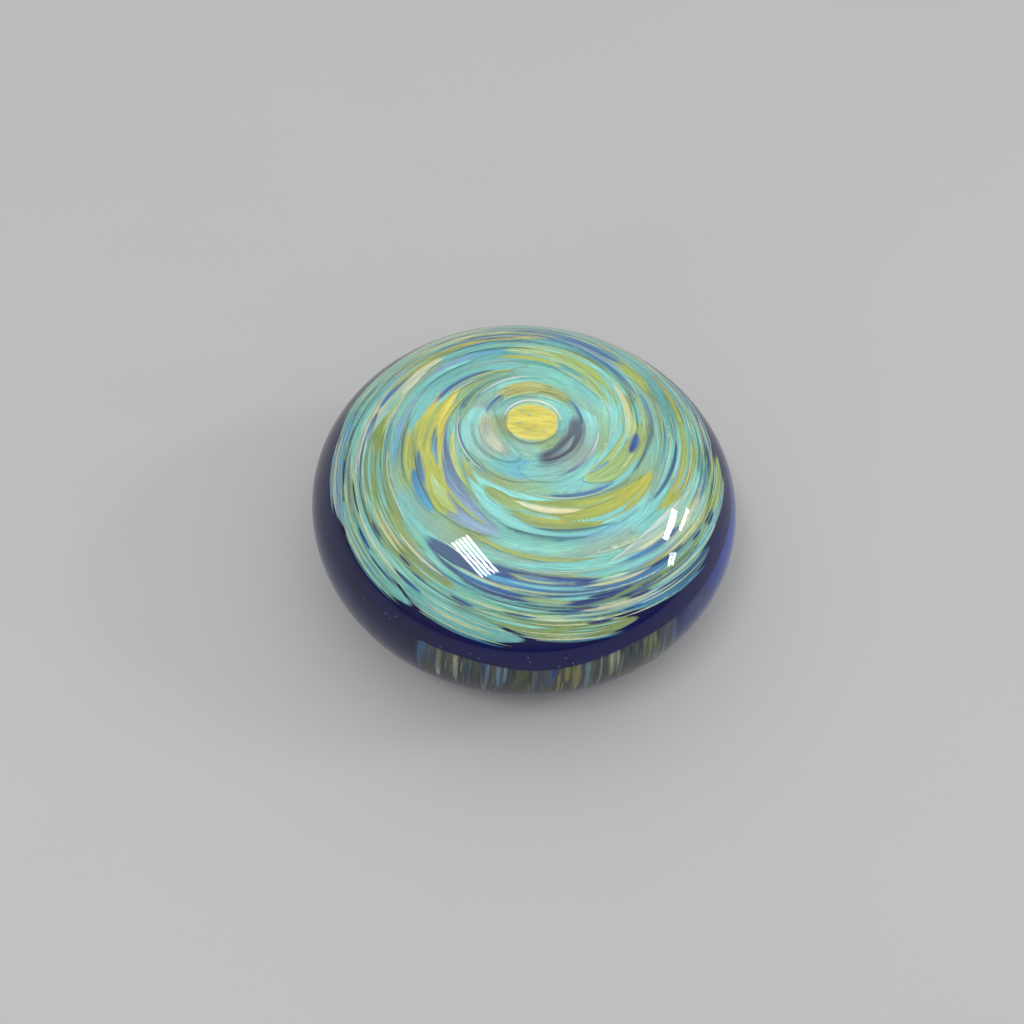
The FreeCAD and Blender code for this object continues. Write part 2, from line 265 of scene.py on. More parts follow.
def lobes(chance):
    """The round ends of the swirl over the dark band, with fine lines along them."""
    step = 360 / LOBES
    for turn in range(LOBES):
        angle = (turn + 0.5) * step
        tip = float(swirl_edge(np.array(angle)))
        glass = chance.choice(("lime", "aqua", "olive", "lime", "blue", "aqua"))
        start, end = chance.sample(FAMILIES[glass][0], 2)
        half = chance.uniform(1.7, 2.3)
        trail(glass, 2, winding(angle, tip - half, 0.62 * step, half), start, end, outer="sea", soft=0.2)
        for share in (0.35, 0.9, 1.5):
            trail("cream", 4, winding(angle + chance.uniform(-3, 3), tip - share * half, 0.5 * step, 0.15),
                  "cream", "pale_leaf", soft=0.5)
        trail("teal", 4, winding(angle + 3, tip - 0.15, 0.4 * step, 0.28), "teal", "azure", soft=0.6)


def strands(chance):
    """Thin threads in the skirt, where the strokes are finest."""
    for _ in range(STRANDS):
        glass = chance.choice(("aqua", "cream", "aqua", "cream", "blue", "lime", "teal"))
        angle = chance.uniform(0, 360)
        down = chance.uniform(33.0, float(swirl_edge(np.array(angle))) - 0.6)
        start, end = chance.sample(FAMILIES[glass][0], 2)
        trail(glass, 3, winding(angle, down, chance.uniform(8, 22), chance.uniform(0.1, 0.55)), start, end,
              soft=0.85)
    for _ in range(DARK_STRANDS):
        angle = chance.uniform(-80, 100)
        down = chance.uniform(36.5, 41.5)
        trail("cobalt", 4, winding(angle, down, chance.uniform(3, 8), chance.uniform(0.15, 0.45)), "navy",
              chance.choice(("blue", "cobalt")), soft=0.6)


def seeds(chance):
    """A few tiny pale bubbles caught in the dark band."""
    for _ in range(SEED_BUBBLES):
        place = winding(chance.uniform(-75, 45), chance.uniform(46.8, 49.2), 0.12,
                        chance.uniform(0.06, 0.11), (1, 1, 1))
        trail("cream", 5, place, "lilac", "pale_lilac", soft=0.5)


# ---------------------------------------------------------------- the eye

def middle_of(node):
    """Plan x, y and mean radius of a CAD piece's box, in millimetres."""
    low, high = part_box(node)
    width, depth = high[0] - low[0], high[1] - low[1]
    return (low[0] + high[0]) / 2 / MM, (low[1] + high[1]) / 2 / MM, (width + depth) / 4 / MM


def disc(piece, level, x, y, radius, start, end, soft):
    """A round blob: a stroke whose half width follows a circle."""
    points = [(x - radius * math.cos(turn), y, max(radius * math.sin(turn), 0.2))
              for turn in np.linspace(0, math.pi, 9)]
    bit(piece, level, points, start, end, soft=soft)


def bow(piece, level, centre, radius, angles, half, start, end, soft):
    """A stroke along an arc about a centre, fullest in its middle. Angles are anticlockwise from +X."""
    points = []
    for share in np.linspace(0, 1, 9):
        turn = math.radians(angles[0] + share * (angles[1] - angles[0]))
        points.append((centre[0] + radius * math.cos(turn), centre[1] + radius * math.sin(turn),
                       half * (0.15 + 0.85 * math.sin(math.pi * share) ** 0.6)))
    bit(piece, level, points, start, end, soft=soft)


POLE = (0.0, 0.0)
BOW_REACH = 58          # degrees that the crescent and the comma reach each way round the yellow eye


def place_of(node):
    """A CAD piece's direction from the pole, anticlockwise from +X in degrees, and its distance."""
    x, y, _size = middle_of(node)
    return math.degrees(math.atan2(y, x)), math.hypot(x, y)


def round_bit(chance, piece, node, half, start, end, others):
    """A bit of glass bent round the yellow eye where a CAD piece lies, with softer strokes in it."""
    facing, distance = place_of(node)
    bow(piece, 2, POLE, distance + 1, (facing + BOW_REACH, facing - BOW_REACH), half, start, end, 0.6)
    for _ in range(7):
        first, last = chance.sample(others, 2)
        turn = facing + chance.uniform(-26, 26)
        bow(piece, 3, POLE, distance + 1 + chance.uniform(-0.7, 0.7) * half, (turn + 28, turn - 28),
            chance.uniform(0.3, 0.8), first, last, 0.95)


def eye(chance):
    """The eye: a ring round a yellow blob, with a comma, a crescent, a patch and chips spread round it."""
    ring = middle_of("aqua_eye_ring")[2]
    for turn in range(7):
        start, end = chance.sample(("mint", "sky", "haze", "silver", "aqua", "pale_aqua"), 2)
        bow("ring", turn % 2, POLE, ring - 3, (turn * 52, turn * 52 + 84), 3.2, start, end, 0.5)
    for turn in range(6):
        start, end = chance.sample(("azure", "white", "cobalt", "mint", "pale_leaf"), 2)
        first = chance.uniform(0, 360)
        bow("ring", 3, POLE, ring + chance.uniform(-1.6, 0.6), (first, first + 70), 0.35, start, end, 0.6)
    round_bit(chance, "comma", "amber_comma", 2.6, "tan", "khaki", ("khaki", "gold", "tan", "leaf", "amber"))
    round_bit(chance, "crescent", "slate_crescent", 2.4, "slate", "deep_slate",
              ("silver", "slate", "slate_blue", "deep_slate"))
    size = middle_of("cream_patch")[2]
    facing, distance = place_of("cream_patch")
    bow("patch", 4, POLE, distance, (facing + 50, facing - 50), 0.8 * size, "silver", "tan", 0.95)
    bow("patch", 5, POLE, distance, (facing + 34, facing - 34), 0.5 * size, "fog", "silver", 0.95)
    x, y, size = middle_of("yellow_eye")
    disc("yellow_eye", 4, x, y, size, "yellow", "yellow", 0.24)
    for _ in range(4):
        lift = y + chance.uniform(-0.5, 0.5) * size
        place = x + chance.uniform(-1.5, 1.5)
        bit("yellow_eye", 5, [(place - 2.6, lift, 0.2), (place, lift - 0.2, 0.9), (place + 2.6, lift, 0.2)],
            "gold", "yellow", soft=0.95)
    facing = place_of("cream_hook")[0]
    bow("hook", 5, POLE, size + 0.4, (facing - 85, facing + 85), 0.36, "cream", "white", 0.3)
    for node in ("cobalt_chip_1", "cobalt_chip_2"):
        facing, distance = place_of(node)
        reach = chance.uniform(18, 30)
        bow("chips", 5, POLE, distance, (facing - reach, facing + reach), 0.4, "cobalt", "azure", 0.6)


# ---------------------------------------------------------------- laying a stroke

# In millimetres.
LEVEL_TOP = 1.15        # depth of level 0 inside the colour dome
LEVEL_STEP = 0.045      # how much higher each level lies
ORDER_STEP = 0.0008     # and each stroke than the one laid before it
STROKE_THICKNESS = 0.16
STROKE_BULGE = 0.035
ALONG_STEP = 0.7
ACROSS_STEP = 0.42
PAINT_STEP = 0.14
CANVAS_HALF = 60.0
CANVAS_CELL = 0.2
LENGTH_ROWS = 30        # rows that a stroke's length is measured on
CANVAS_SIZE = int(2 * CANVAS_HALF / CANVAS_CELL)


def smooth_line(points, count):
    """Rows along a smooth line through the points, closest together at its two ends."""
    rows = np.array(points, float)
    rows = np.vstack([2 * rows[0] - rows[1], rows, 2 * rows[-1] - rows[-2]])
    share = 0.5 - 0.5 * np.cos(np.linspace(0, math.pi, count))
    place = (0.35 * share + 0.65 * np.linspace(0, 1, count)) * (len(points) - 1)
    before = np.minimum(place.astype(int), len(points) - 2)
    part = (place - before)[:, None]
    first, here, there, last = (rows[before + step] for step in range(4))
    return 0.5 * (2 * here + (there - first) * part + (2 * first - 5 * here + 4 * there - last) * part ** 2
                  + (3 * here - first - 3 * there + last) * part ** 3)


def stroke_length(stroke):
    """The length of a stroke's middle line on the plan, in millimetres."""
    rows = smooth_line(stroke["points"], LENGTH_ROWS)
    x, y = ring_place(rows[:, 0], rows[:, 1]) if stroke["ring"] else (rows[:, 0], rows[:, 1])
    return np.hypot(np.diff(x), np.diff(y)).sum()


def stroke_grid(stroke, along, across):
    """Plan x and y over the stroke, with millimetres along and across it and both as shares."""
    rows = smooth_line(stroke["points"], along)
    x, y = ring_place(rows[:, 0], rows[:, 1]) if stroke["ring"] else (rows[:, 0], rows[:, 1])
    half = np.maximum(rows[:, 2], 0.02)
    way_x, way_y = np.gradient(x), np.gradient(y)
    size = np.maximum(np.hypot(way_x, way_y), 1e-9)
    ran = np.concatenate([[0], np.cumsum(np.hypot(np.diff(x), np.diff(y)))])
    for gone in (ran, ran[-1] - ran):
        cap = max(half[np.argmin(gone)], 0.05)
        half = half * np.sqrt(np.clip(1 - (1 - np.minimum(gone / cap, 1)) ** 2, 0.0004, 1))
    side = np.linspace(-1, 1, across)
    reach = half[:, None] * side[None, :]
    grid_x = x[:, None] + (way_y / size)[:, None] * reach
    grid_y = y[:, None] - (way_x / size)[:, None] * reach
    gone = np.repeat(ran[:, None], across, axis=1)
    return grid_x, grid_y, gone, reach, gone / ran[-1], np.repeat(side[None, :], along, axis=0)


def step_up(value):
    """A smooth step from 0 to 1."""
    value = np.clip(value, 0, 1)
    return value * value * (3 - 2 * value)


def mix(first, second, share):
    """Colours part of the way from the first to the second."""
    return first + (second - first) * share[..., None]


class Canvas:
    """The colours laid so far, on the dome's plan, which the next stroke's soft edges blend into."""

    def __init__(self):
        middles = (np.arange(CANVAS_SIZE) + 0.5) * CANVAS_CELL - CANVAS_HALF
        x, y = np.meshgrid(middles, middles)
        angle, down = np.degrees(np.arctan2(x, -y)), np.hypot(x, y)
        below_band = step_up((down - band_edge(angle)) / 0.3)
        beyond_swirl = step_up((down - swirl_edge(angle)) / 0.8)
        dark = mix(band_colour(angle), cup_colour(angle, down), below_band)
        self.cells = mix(linear("haze") + 0 * dark, dark, beyond_swirl)

    def index(self, x, y):
        """The canvas cells of some plan places."""
        column = np.clip(((x + CANVAS_HALF) / CANVAS_CELL).astype(int), 0, CANVAS_SIZE - 1)
        row = np.clip(((y + CANVAS_HALF) / CANVAS_CELL).astype(int), 0, CANVAS_SIZE - 1)
        return row, column

    def read(self, x, y):
        return self.cells[self.index(x, y)]

    def write(self, x, y, colour):
        self.cells[self.index(x, y)] = colour


EDGE_START = 0.62
END_BLEND = 0.3
STREAK_DEPTH = 0.14


def stroke_colour(stroke, canvas, x, y, share, side):
    """Linear colours over a stroke: its tints along it, its edges, its streaks and its soft rim."""
    # A stroke's shade is painted shade; only the drawn streaks are darkened by it.
    colour = mix(linear(stroke["start"]), linear(stroke["end"]), step_up(share)) * stroke["shade"]
    for name, sign in ((stroke["inner"], -1), (stroke["outer"], 1)):
        if name:
            colour = mix(colour, linear(name), 0.85 * step_up((sign * side - EDGE_START) / 0.3))
    streak = np.zeros_like(share)
    for pitch, drift, phase in stroke["streaks"]:
        streak += np.sin(pitch * side + drift * share + phase)
    colour = colour * (1 + STREAK_DEPTH * streak / len(stroke["streaks"]))[..., None]
    cover = step_up((1 - np.abs(side)) / stroke["soft"])
    ends = step_up(np.minimum(share, 1 - share) / (END_BLEND * stroke["soft"]))
    return mix(canvas.read(x, y), colour, cover * ends)


class Builder:
    """Gathers closed sheets of glass into one mesh, with their colours and their stroke coordinates."""

    def __init__(self):
        self.points, self.faces, self.smooth, self.colours, self.coords = [], [], [], [], []
        self.count = 0

    def sheet(self, top, bottom, colour, coords, wrap=False):
        """A closed sheet between two grids of points. A wrapped sheet is a ring along its second axis."""
        rows, columns = top.shape[:2]
        size = rows * columns
        place = self.count + np.arange(size).reshape(rows, columns)
        if wrap:
            place = np.concatenate([place, place[:, :1]], axis=1)
        corners = (place[:-1, :-1], place[1:, :-1], place[1:, 1:], place[:-1, 1:])
        upper = np.stack(corners, axis=-1).reshape(-1, 4)
        self.faces += [upper, upper[:, ::-1] + size]
        self.smooth.append(np.ones(2 * len(upper), bool))
        rims = [place[0], place[-1][::-1]]
        if not wrap:
            rims += [place[:, -1], place[:, 0][::-1]]
        for rim in rims:
            walls = np.stack([rim[:-1], rim[1:], rim[1:] + size, rim[:-1] + size], axis=-1)
            self.faces.append(walls.reshape(-1, 4))
            self.smooth.append(np.zeros(len(walls), bool))
        self.points += [top.reshape(-1, 3), bottom.reshape(-1, 3)]
        self.colours += [colour.reshape(-1, 3)] * 2
        self.coords += [coords.reshape(-1, 2)] * 2
        self.count += 2 * size

    def build(self, name, material):
        """One mesh of everything gathered, with its tints and stroke coordinates."""
        mesh = bpy.data.meshes.new(name)
        faces = np.concatenate(self.faces)
        mesh.from_pydata(np.concatenate(self.points).tolist(), [], faces.tolist())
        colours = np.concatenate(self.colours)
        layer = mesh.color_attributes.new("Tint", "FLOAT_COLOR", "POINT")
        layer.data.foreach_set("color", np.hstack([colours, np.ones((len(colours), 1))]).ravel())
        uv = mesh.uv_layers.new(name="Trail")
        uv.data.foreach_set("uv", np.concatenate(self.coords)[faces.ravel()].ravel())
        mesh.polygons.foreach_set("use_smooth", np.concatenate(self.smooth))
        mesh.materials.append(material)
        mesh.update()
        piece = bpy.data.objects.new(name, mesh)
        bpy.context.scene.collection.objects.link(piece)
        return piece


THREAD_STRETCH = 0.07   # threads are this much coarser along a stroke than across it
STREAK_WAVES = 5

def lay_strokes(chance):
    """Lays every stroke on the canvas in order and gathers each piece's sheets."""
    canvas = Canvas()
    builders = {}
    ordered = sorted(STROKES, key=lambda stroke: stroke["level"])
    for order, stroke in enumerate(ordered):
        stroke["streaks"] = [(chance.uniform(4, 16), chance.uniform(-5, 5), chance.uniform(0, 6))
                             for _ in range(STREAK_WAVES)]
        length = stroke_length(stroke)
        width = 2 * max(point[2] for point in stroke["points"])
        along = max(10, int(length / ALONG_STEP) + 6)
        across = max(5, int(width / ACROSS_STEP) + 3)
        x, y, gone, reach, share, side = stroke_grid(stroke, along, across)
        colour = stroke_colour(stroke, canvas, x, y, share, side)
        if stroke["piece"] != "aqua_bed":
            depth = LEVEL_TOP - LEVEL_STEP * stroke["level"] - ORDER_STEP * order
            sunk = depth + STROKE_BULGE * side ** 2
            shift = np.array([order * 3.7, order * 1.3])
            coords = np.stack([gone * THREAD_STRETCH, reach], axis=-1) + shift
            builder = builders.setdefault(stroke["piece"], Builder())
            builder.sheet(on_dome(x, y, sunk), on_dome(x, y, depth + STROKE_THICKNESS), colour, coords)
        fine = stroke_grid(stroke, int(length / PAINT_STEP) + 8, int(width / PAINT_STEP) + 6)
        canvas.write(fine[0], fine[1], stroke_colour(stroke, canvas, fine[0], fine[1], fine[4], fine[5]))
    return canvas, builders


# ---------------------------------------------------------------- rings of glass round the axis

AROUND = 288
BED_DEPTH = 1.2
BED_THICKNESS = 0.6
BED_ROWS = 60


def swirl_bed(canvas):
    """The aqua bed under the strokes, a cap with a scalloped lower edge."""
    angles = np.arange(AROUND) * 360 / AROUND
    edge = swirl_edge(angles) - 1.2
    share = np.linspace(0.004, 1, BED_ROWS)[:, None]
    down = share * edge[None, :]
    x, y = ring_place(angles[None, :], down)
    coords = np.stack([np.radians(angles)[None, :] * down * THREAD_STRETCH, down], axis=-1)
    builder = Builder()
    sunk = BED_DEPTH + 0.3 * share ** 8
    builder.sheet(on_dome(x, y, sunk), on_dome(x, y, BED_DEPTH + BED_THICKNESS), canvas.read(x, y), coords,
                  wrap=True)
    return builder


CUP_DEPTH = 1.9
CUP_THICKNESS = 1.6
CUP_START = 33.0
CUP_ROWS = 70
CUP_THREADS = 9.0
BAND_DEPTH = 1.0
BAND_START = 34.0
BAND_ROWS = 50


def cup_colour(angles, down):
    """The cobalt glass: violet at the left, darkest high up. Painted light makes it blue and clearer at the
    right, adds a painted pool of light and a painted shade at the right, a painted reflection in lighter
    violet low at the left, and lighter violet lowest down as painted light.
    """
    facing = (angles + 180) % 360 - 180
    # Painted light: the right side is laid bluer and clearer, as lit through the glass from that side.
    right = step_up((facing - 25) / 45) * step_up((125 - facing) / 30)
    # The left side, where a painted reflection lies low down.
    left = step_up((-20 - facing) / 40)
    colour = mix(linear("violet"), linear("dusk"), right * np.ones_like(down))
    # Painted light: a brighter sapphire pool low at the right.
    painted_light_patch = step_up(1 - np.abs(facing - 82) / 26) * step_up((down - 47) / 3)
    colour = mix(colour, linear("sapphire"), 0.8 * painted_light_patch)
    # Painted shade: a darker slate patch at the right.
    painted_shade_patch = step_up(1 - np.abs(facing - 58) / 9) * step_up(1 - np.abs(down - 51.5) / 3.5)
    colour = mix(colour, linear("deep_slate"), 0.7 * painted_shade_patch)
    # Painted reflection: lighter violet low at the left rim.
    colour = mix(colour, linear("rim_violet"), 0.7 * left * step_up((down - 49) / 8))
    colour = mix(colour, linear("ink"), 0.75 * step_up((47.5 - down) / 3))
    # Painted light: lighter violet lowest down, for the light showing through the base.
    return mix(colour, linear("rim_violet"), 0.6 * step_up((down - 56) / 6))


def band_colour(angles):
    """The dark band under the swirl: nearly black in front, violet at the left."""
    facing = (angles + 180) % 360 - 180
    return mix(linear("ink"), linear("violet"), 0.75 * step_up((-5 - facing) / 30))


def cobalt_cup():
    """The cobalt cup that carries the swirl, down to its neck, with the dark band round its shoulder."""
    angles = np.arange(AROUND) * 360 / AROUND
    share = np.linspace(0, 1, CUP_ROWS)[:, None]
    down = CUP_START + share * (UNDERSIDE_END + COLOUR_RADIUS - UNDERSIDE - NECK_RADIUS - CUP_START)
    down = np.repeat(down, AROUND, axis=1)
    x, y = ring_place(angles[None, :], down)
    coords = np.stack([down * THREAD_STRETCH, np.radians(angles)[None, :] * CUP_THREADS * np.ones_like(down)],
                      axis=-1)
    builder = Builder()
    builder.sheet(on_dome(x, y, CUP_DEPTH), on_dome(x, y, CUP_DEPTH + CUP_THICKNESS),
                  cup_colour(angles[None, :], down), coords, wrap=True)
    edge = band_edge(angles)
    share = np.linspace(0, 1, BAND_ROWS)[:, None]
    down = BAND_START + share * (edge[None, :] - BAND_START)
    x, y = ring_place(angles[None, :], down)
    coords = np.stack([down * THREAD_STRETCH, np.radians(angles)[None, :] * CUP_THREADS * np.ones_like(down)],
                      axis=-1)
    colour = band_colour(angles[None, :] + 0 * down)
    under_swirl = step_up((swirl_edge(angles)[None, :] - down) / 1.6)
    sunk = BAND_DEPTH + 0.84 * np.maximum(share ** 40, under_swirl)
    builder.sheet(on_dome(x, y, sunk), on_dome(x, y, CUP_DEPTH + 0.1), colour, coords, wrap=True)
    return builder


# ---------------------------------------------------------------- drawn streaks below the band, a painted reflection of the swirl

# Painted shade: the streaks are laid darker by this share, as in the shade under the band.
IN_SHADE = 0.6
STREAK_TINTS = {
    "blue_streaks": ("bright_blue", "slate_blue", "azure", "slate"),
    "aqua_streaks": ("sky", "lilac", "slate_blue", "silver"),
    "cream_streaks": ("cream", "silver", "khaki", "lead"),
    "olive_streaks": ("lead", "khaki", "moss", "soot"),
    "amber_streaks": ("amber", "gold", "khaki", "lead"),
    "teal_streaks": ("deep_teal", "soot", "grey_green", "navy"),
}


def streak(piece, level, angle, top, foot, half, tints, soft):
    """One streak of the painted reflection, drawn down the dome from top to foot and darkened as painted
    shade.
    """
    points = [(angle, top, half), (angle, top + 0.35 * (foot - top), half * 1.1),
              (angle, top + 0.7 * (foot - top), half), (angle, foot, half * 0.6)]
    trail(piece, level, points, *tints, soft=soft, shade=IN_SHADE)


def drawn_streaks(chance):
    """Where each CAD streak lies, a painted reflection of the swirl: a broad soft dark veil, with finer
    threads in the tints of the same glass on it.
    """
    for piece, tints in STREAK_TINTS.items():
        for node in PIECES[piece][1]:
            middle = node_angle(node)
            top = float(band_edge(np.array(middle)))
            streak(piece, -3, middle, top - 3, 61, 4.2, ("lead", "soot"), 0.9)
            for _ in range(5):
                streak(piece, -2, middle + chance.uniform(-3.4, 3.4), top - 1.6, chance.uniform(55, 61),
                       chance.uniform(0.3, 0.9), chance.sample(tints, 2), 0.8)
            for _ in range(6):
                start = top + chance.uniform(-1, 3)
                streak(piece, -1, middle + chance.uniform(-3.4, 3.4), start, start + chance.uniform(3, 7),
                       chance.uniform(0.1, 0.25), chance.sample(tints, 2), 0.9)


# ---------------------------------------------------------------- the clear body

DIMPLE_ROWS = 14
GROUND_ROWS = 6
BODY_AROUND = 320
UNDER_ROWS = 60
OVER_ROWS = 110
WAVE = 0.12


def body_profile():
    """Radius and height down the clear body's section, from the middle of its base to its top."""
    rows = []
    for share in np.linspace(0.0, 1, DIMPLE_ROWS):
        radius = DIMPLE_RADIUS * share
        rows.append((radius, DIMPLE_DEPTH * (1 - share ** 2) ** 1.2))
    for share in np.linspace(0.1, 1, GROUND_ROWS):
        rows.append((DIMPLE_RADIUS + share * (BASE_RADIUS - BASE_BEVEL - DIMPLE_RADIUS), 0.0))
    inset = RADIUS - BASE_RADIUS
    arc = (inset ** 2 + EQUATOR ** 2) / (2 * inset)
    drop = math.asin(EQUATOR / arc)
    for step in range(1, UNDER_ROWS):
        turn = -drop * (1 - step / UNDER_ROWS)
        height = EQUATOR + arc * math.sin(turn)
        if height > 0.35 * BASE_BEVEL:
            rows.append((RADIUS - arc + arc * math.cos(turn), height))
    for step in range(OVER_ROWS + 1):
        turn = QUARTER * step / OVER_ROWS
        rows.append((RADIUS * math.cos(turn), EQUATOR + (HEIGHT - EQUATOR) * math.sin(turn)))
    return np.array(rows)


def clear_body(material):
    """The clear glass, one closed skin with the faint unevenness of work shaped by hand."""
    rows = body_profile()
    turns = np.arange(BODY_AROUND) * 2 * math.pi / BODY_AROUND
    lift = rows[:, 1][:, None] / HEIGHT
    wave = (np.cos(2 * turns + 0.6) + 0.6 * np.cos(3 * turns + 2.1 + 3 * lift) + 1.6) / 3.2
    fade = np.sin(np.clip(lift, 0, 1) * math.pi)
    radius = np.maximum(rows[:, 0][:, None] - WAVE * wave * fade * (rows[:, 0][:, None] / RADIUS), 0.0)
    ring = np.stack([radius * np.cos(turns), radius * np.sin(turns),
                     np.repeat(rows[:, 1][:, None], BODY_AROUND, axis=1)], axis=-1) * MM
    ring = ring[1:-1]
    count = len(ring)
    points = ring.reshape(-1, 3).tolist()
    points += [(0, 0, rows[0, 1] * MM), (0, 0, rows[-1, 1] * MM)]
    faces = []
    for row in range(count - 1):
        for turn in range(BODY_AROUND):
            after = (turn + 1) % BODY_AROUND
            faces.append((row * BODY_AROUND + turn, row * BODY_AROUND + after,
                          (row + 1) * BODY_AROUND + after, (row + 1) * BODY_AROUND + turn))
    last = (count - 1) * BODY_AROUND
    for turn in range(BODY_AROUND):
        after = (turn + 1) % BODY_AROUND
        faces.append((after, turn, len(points) - 2))
        faces.append((last + turn, last + after, len(points) - 1))
    mesh = bpy.data.meshes.new("clear_body")
    mesh.from_pydata(points, [], faces)
    mesh.shade_smooth()
    mesh.materials.append(material)
    mesh.update()
    piece = bpy.data.objects.new("clear_body", mesh)
    bpy.context.scene.collection.objects.link(piece)
    return piece


# ---------------------------------------------------------------- materials

def new_material(name):
    """A new node material, its tree and its shader."""
    material = bpy.data.materials.new(name)
    material.use_nodes = True
    return material, material.node_tree, material.node_tree.nodes["Principled BSDF"]


def add(tree, kind, **sockets):
    """A new node with values on some of its sockets."""
    node = tree.nodes.new(kind)
    for name, value in sockets.items():
        node.inputs[name.replace("_", " ")].default_value = value
    return node


def thread_glass(name, threads, contrast):
    """Opaque-looking coloured glass: its laid tint, with fine threads drawn out along each stroke."""
    material, tree, shader = new_material(name)
    tint = tree.nodes.new("ShaderNodeAttribute")
    tint.attribute_name = "Tint"
    place = tree.nodes.new("ShaderNodeUVMap")
    place.uv_map = "Trail"
    coarse = add(tree, "ShaderNodeTexNoise", Scale=threads, Detail=3.0, Roughness=0.6)
    fine = add(tree, "ShaderNodeTexNoise", Scale=threads * 4.3, Detail=2.0, Roughness=0.5)
    both = tree.nodes.new("ShaderNodeMath")
    both.operation = "ADD"
    for noise, slot in ((coarse, 0), (fine, 1)):
        tree.links.new(place.outputs["UV"], noise.inputs["Vector"])
        tree.links.new(noise.outputs["Fac"], both.inputs[slot])
    value = tree.nodes.new("ShaderNodeMapRange")
    value.inputs["From Min"].default_value = 0.7
    value.inputs["From Max"].default_value = 1.3
    value.inputs["To Min"].default_value = 1 - contrast
    value.inputs["To Max"].default_value = 1 + contrast
    tree.links.new(both.outputs[0], value.inputs["Value"])
    shade = tree.nodes.new("ShaderNodeVectorMath")
    shade.operation = "SCALE"
    tree.links.new(tint.outputs["Color"], shade.inputs[0])
    tree.links.new(value.outputs["Result"], shade.inputs["Scale"])
    tree.links.new(shade.outputs["Vector"], shader.inputs["Base Color"])
    gloss = tree.nodes.new("ShaderNodeMapRange")
    gloss.inputs["To Min"].default_value = 0.4
    gloss.inputs["To Max"].default_value = 0.7
    tree.links.new(coarse.outputs["Fac"], gloss.inputs["Value"])
    tree.links.new(gloss.outputs["Result"], shader.inputs["Roughness"])
    shader.inputs["Specular IOR Level"].default_value = 0.0
    return material


def clear_glass():
    """The clear crystal."""
    material, _tree, shader = new_material("clear_glass")
    shader.inputs["Base Color"].default_value = (1, 1, 1, 1)
    shader.inputs["Transmission Weight"].default_value = 1.0
    shader.inputs["IOR"].default_value = 1.5
    shader.inputs["Roughness"].default_value = 0.0
    return material


def floor_material():
    """A plain pale floor, very slightly uneven."""
    material, tree, shader = new_material("pale_floor")
    noise = add(tree, "ShaderNodeTexNoise", Scale=60.0, Detail=4.0)
    ramp = tree.nodes.new("ShaderNodeValToRGB")
    ramp.color_ramp.elements[0].color = (0.305, 0.303, 0.298, 1)
    ramp.color_ramp.elements[1].color = (0.335, 0.333, 0.328, 1)
    tree.links.new(noise.outputs["Fac"], ramp.inputs["Fac"])
    tree.links.new(ramp.outputs["Color"], shader.inputs["Base Color"])
    shader.inputs["Roughness"].default_value = 0.8
    return material


# ---------------------------------------------------------------- pieces

THREADS = 1.6
THREAD_CONTRAST = 0.2


def numbered(stem, first, last):
    """Names of the CAD pieces that share a stem, by number."""
    return ["%s_%d" % (stem, number) for number in range(first, last + 1)]


# Each visual piece: its material slot and the CAD pieces it stands for.
PIECES = {
    "aqua": ("aqua", numbered("aqua_trail", 1, 8)),
    "teal": ("teal", numbered("teal_trail", 1, 3)),
    "blue": ("blue", ["blue_trail_1"]),
    "lime": ("lime", numbered("lime_trail", 1, 4)),
    "olive": ("olive", numbered("olive_trail", 1, 3)),
    "yellow": ("yellow", ["yellow_trail_1", "yellow_trail_2"]),
    "cream": ("cream", ["cream_trail_1", "cream_trail_2"]),
    "cobalt": ("cobalt", ["cobalt_trail_1", "cobalt_trail_2"]),
    "ring": ("aqua", ["aqua_eye_ring"]),
    "comma": ("amber", ["amber_comma"]),
    "patch": ("cream", ["cream_patch"]),
    "hook": ("cream", ["cream_hook"]),
    "chips": ("cobalt", ["cobalt_chip_1", "cobalt_chip_2"]),
    "crescent": ("slate", ["slate_crescent"]),
    "yellow_eye": ("yellow", ["yellow_eye"]),
    "blue_streaks": ("blue", numbered("blue_streak", 1, 3)),
    "aqua_streaks": ("aqua", ["aqua_streak_1", "aqua_streak_2"]),
    "cream_streaks": ("cream", ["cream_streak_1", "cream_streak_2"]),
    "olive_streaks": ("olive", ["olive_streak_1", "olive_streak_2"]),
    "amber_streaks": ("amber", ["amber_streak_1"]),
    "teal_streaks": ("teal", ["teal_streak_1", "teal_streak_2"]),
}


def place_piece(piece, nodes):
    """Ties a visual piece to the frame and hides the CAD pieces it stands for."""
    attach(piece, "root")
    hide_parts(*nodes)


def make_glass():
    """Everything that the paperweight is made of."""
    chance = random.Random(SEED)
    for lay in (washes, petals, accents, lobes, strands, eye, seeds, drawn_streaks):
        lay(chance)
    canvas, builders = lay_strokes(chance)
    materials = {}
    for name, (slot, nodes) in PIECES.items():
        if slot not in materials:
            materials[slot] = thread_glass(slot + "_glass", THREADS, THREAD_CONTRAST)
        piece = builders[name].build(name + "_strokes", materials[slot])
        place_piece(piece, nodes)
    place_piece(swirl_bed(canvas).build("aqua_bed", materials["aqua"]), ["aqua_ground"])
    cup = cobalt_cup().build("cobalt_cup", materials["cobalt"])
    place_piece(cup, ["cobalt_ground"])
    place_piece(clear_body(clear_glass()), ["clear_casing", "clear_core"])


# ---------------------------------------------------------------- floor, light and camera

FLOOR_HALF = 6.0
FLOOR_GAP = 0.00005


